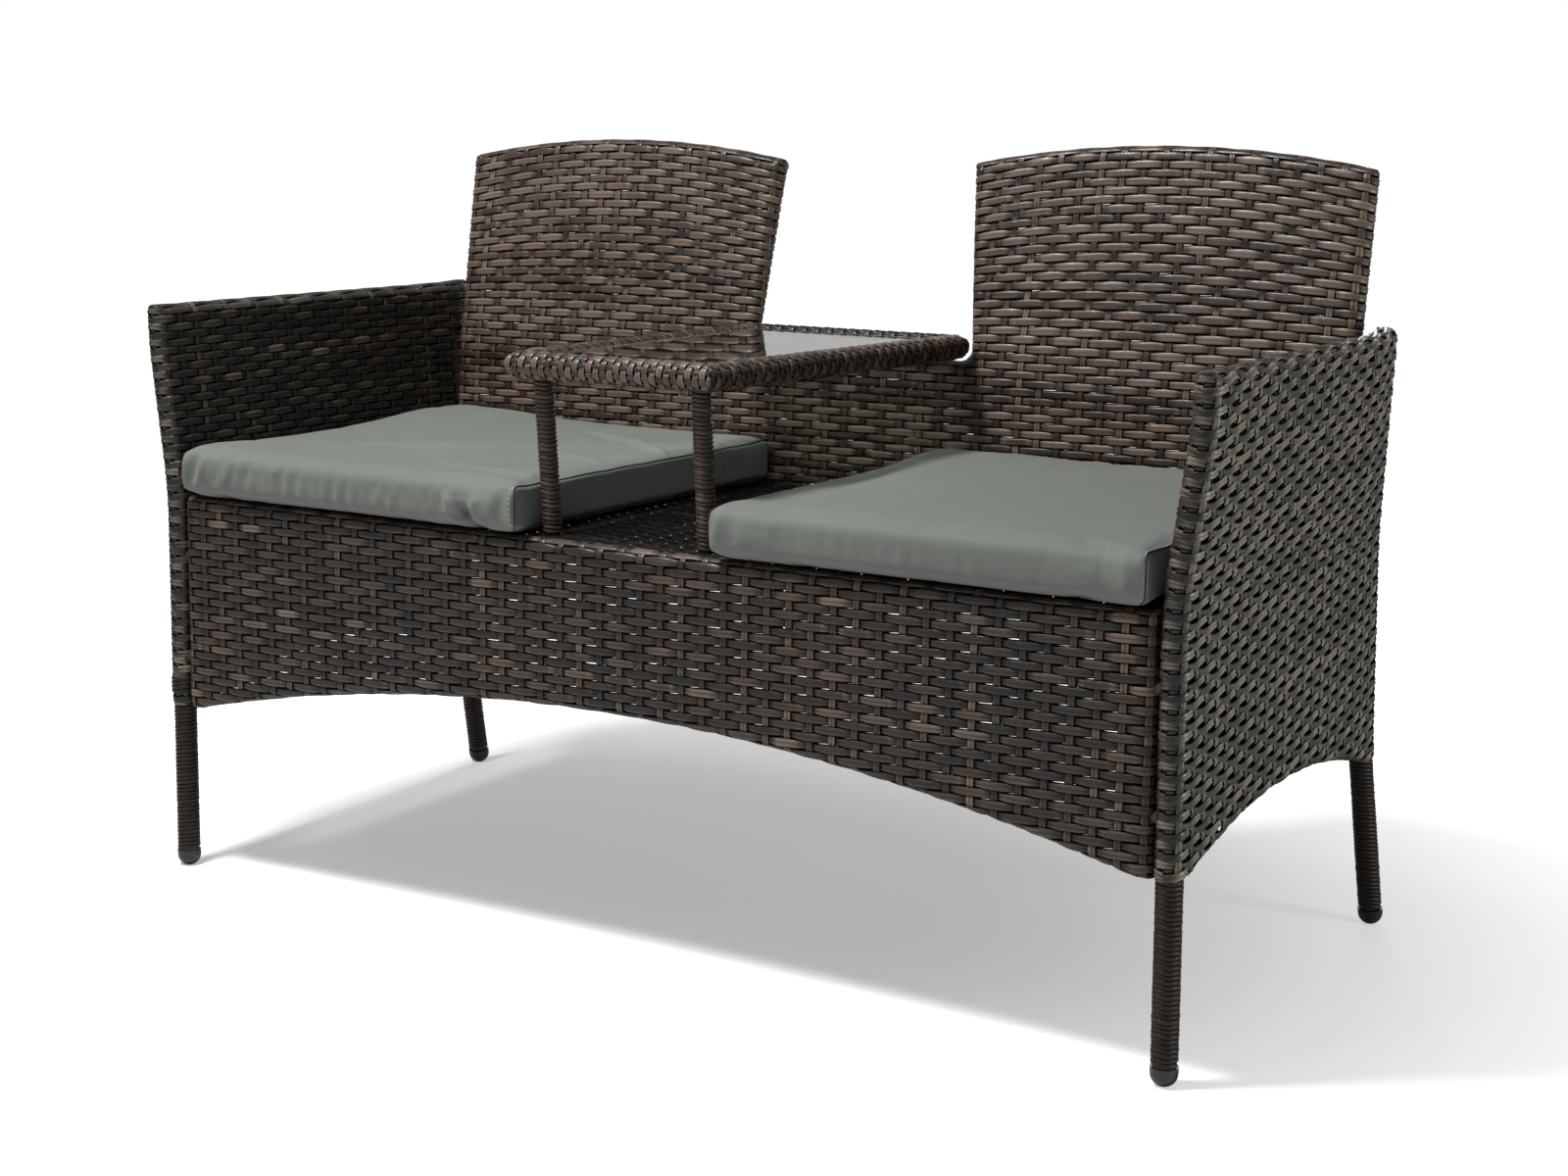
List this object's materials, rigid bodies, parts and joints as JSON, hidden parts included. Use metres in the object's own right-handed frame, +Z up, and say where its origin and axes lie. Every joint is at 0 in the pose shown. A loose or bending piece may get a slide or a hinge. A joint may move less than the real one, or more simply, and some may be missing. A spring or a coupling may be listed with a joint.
{
  "type": "companion seat bench",
  "caption": "Outdoor wicker companion bench: two cushioned seats with arched backrests, joined by a raised centre table with a glass top.",
  "frame": {"origin": "on the floor, below the middle of the bench's width and depth", "axes": "+X to the right of someone looking at the front, -Y the front that is sat on, +Z up"},
  "size_m": [1.24, 0.5739, 0.815],
  "materials": {
    "wicker": "satin flat plastic strand, dark brown mottled with grey brown",
    "frame_coat": "powder coated steel tube, near black brown",
    "foot_cap": "moulded black foot cap",
    "dark_glass": "clear tempered glass with polished edges, dark over the frame",
    "clear_pad": "soft pad under the glass",
    "cushion_cloth": "plain woven grey polyester",
    "cushion_foam": "soft foam inside the cover",
    "bolt_head": "black coated socket head",
    "washer": "black coated flat washer",
    "insert": "zinc plated threaded insert",
    "plug": "black moulded plug",
    "bush": "black moulded spacer"
  },
  "bodies": {
    "bench": {"arm_frame_right": "frame_coat", "arm_frame_left": "frame_coat", "arm_weave_right": "wicker", "arm_weave_left": "wicker", "leg_wrap_front_right": "wicker", "leg_wrap_front_left": "wicker", "leg_wrap_rear_right": "wicker", "leg_wrap_rear_left": "wicker", "foot_caps": "foot_cap", "seat_frame": "frame_coat", "apron_weave": "wicker", "seat_weave": "wicker", "back_frame": "frame_coat", "back_weave": "wicker", "table_frame": "frame_coat", "table_rim_weave": "wicker", "table_leg_left": "frame_coat", "table_leg_right": "frame_coat", "table_leg_wrap_left": "wicker", "table_leg_wrap_right": "wicker", "glass_pads": "clear_pad", "seat_arm_bolts": "bolt_head", "back_arm_bolts": "bolt_head", "back_seat_bolts": "bolt_head", "table_leg_bolts": "bolt_head", "table_back_bolts": "bolt_head", "bolt_washers": "washer", "thread_inserts": "insert", "table_leg_plugs": "plug", "apron_bushes": "bush", "back_bushes": "bush", "strap_spacers": "bush"},
    "cushion_left": {"cushion_cover_left": "cushion_cloth", "cushion_foam_left": "cushion_foam"},
    "cushion_right": {"cushion_cover_right": "cushion_cloth", "cushion_foam_right": "cushion_foam"},
    "glass_pane": {"glass_top": "dark_glass"}
  },
  "joints": [
    {"name": "left_cushion_lift", "type": "slide", "parent": "bench", "child": "cushion_left", "axis": [0, 0, 1], "range_m": [0, 0.08]},
    {"name": "right_cushion_lift", "type": "slide", "parent": "bench", "child": "cushion_right", "axis": [0, 0, 1], "range_m": [0, 0.08]},
    {"name": "glass_lift", "type": "slide", "parent": "bench", "child": "glass_pane", "axis": [0, 0, 1], "range_m": [0, 0.1]}
  ]
}
